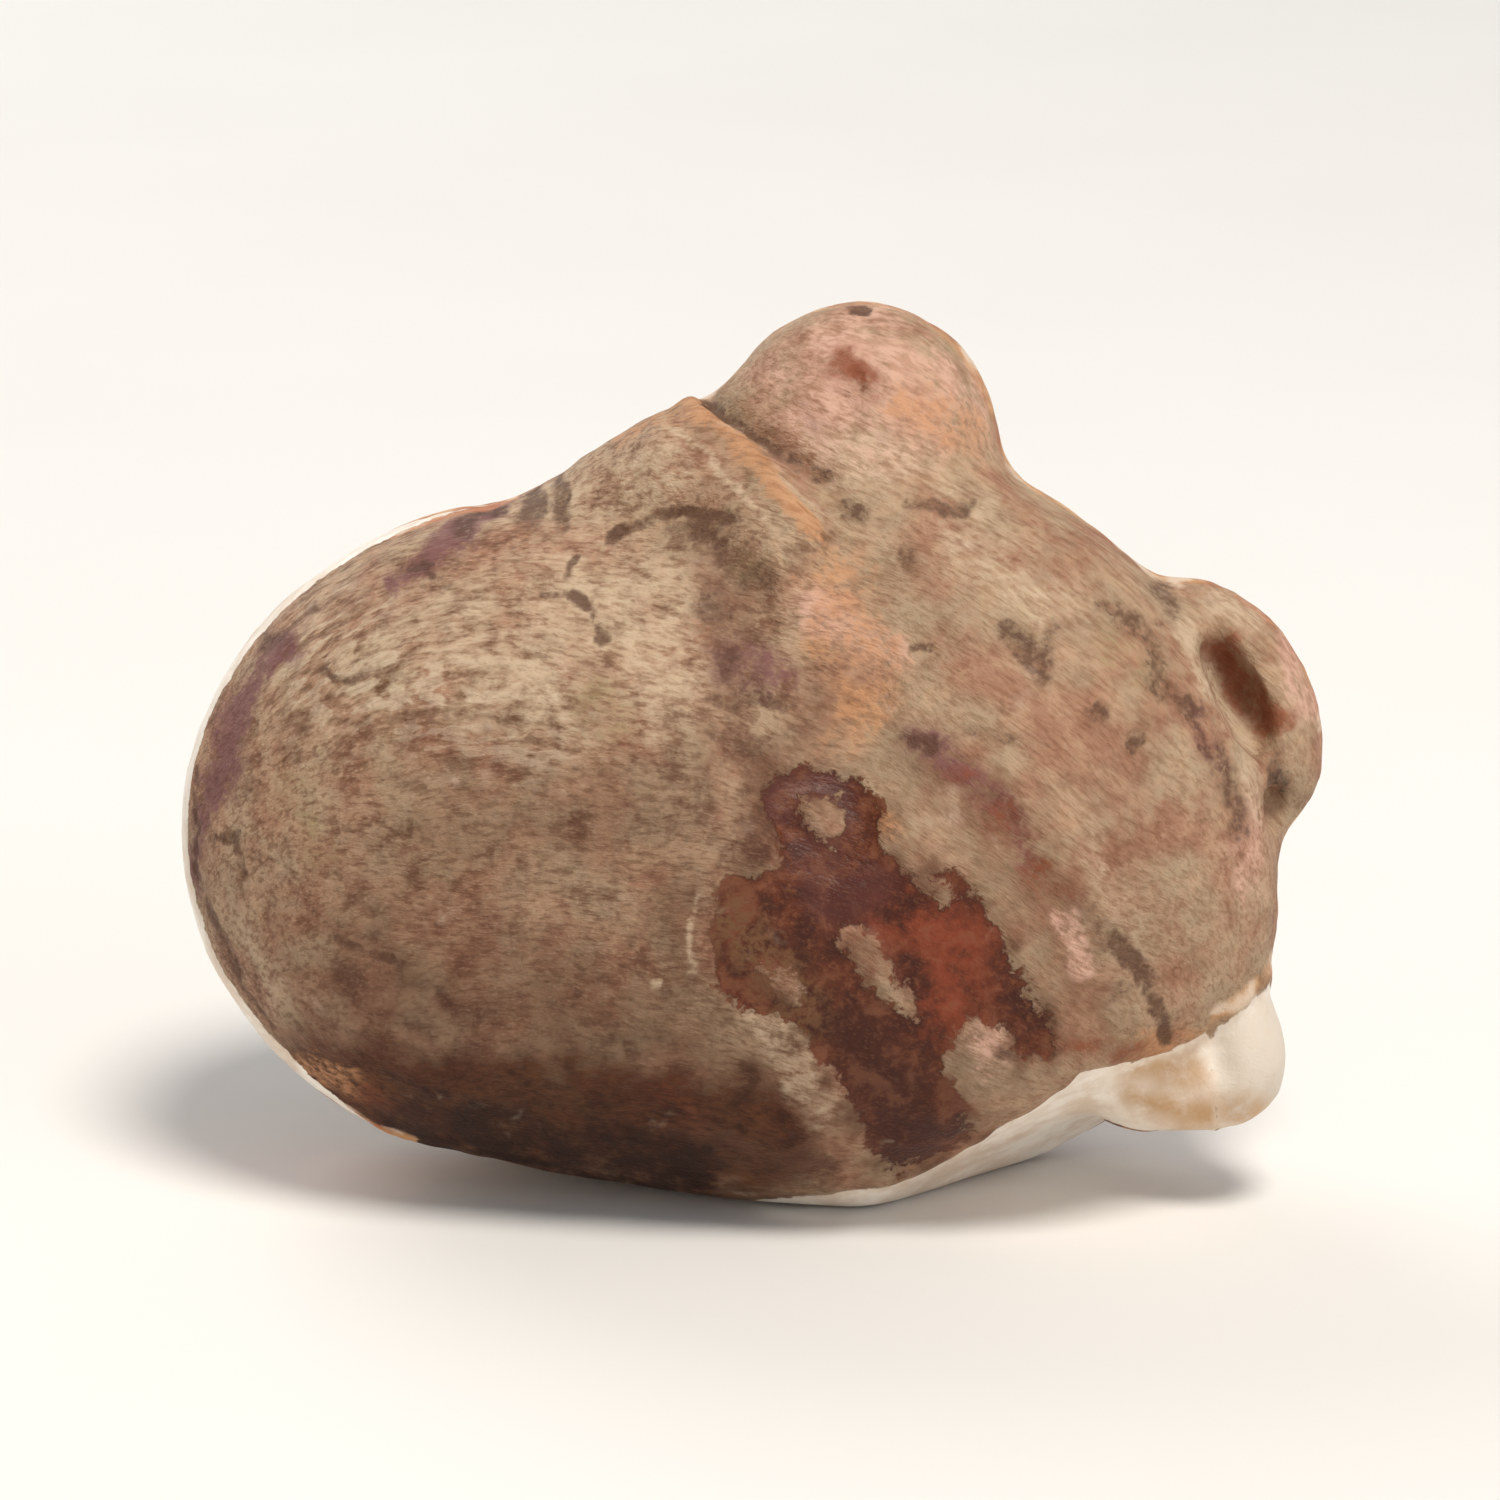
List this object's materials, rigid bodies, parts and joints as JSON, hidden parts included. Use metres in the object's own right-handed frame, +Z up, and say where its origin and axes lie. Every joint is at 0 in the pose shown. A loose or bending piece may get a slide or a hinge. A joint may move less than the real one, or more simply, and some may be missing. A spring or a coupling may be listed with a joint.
{
  "type": "water chestnut kernel",
  "caption": "Shelled water chestnut kernel with its papery brown skin on: plump lobes, a knob on top, a hollow ear at the side and a pale tip. Food, whole.",
  "frame": {"origin": "in the plane of the flat spot that the kernel rests on, under the middle of its bounding box", "axes": "+X to the right along the kernel's width, seen from its broad front; -Y out of the broad front; +Z up through the knob"},
  "size_m": [0.0382, 0.0192, 0.0294],
  "materials": {
    "papery_skin": "matte papery brown seed coat, a little glossier where its outer layer has flaked off"
  },
  "bodies": {
    "root": {"kernel": "papery_skin"}
  },
  "joints": []
}
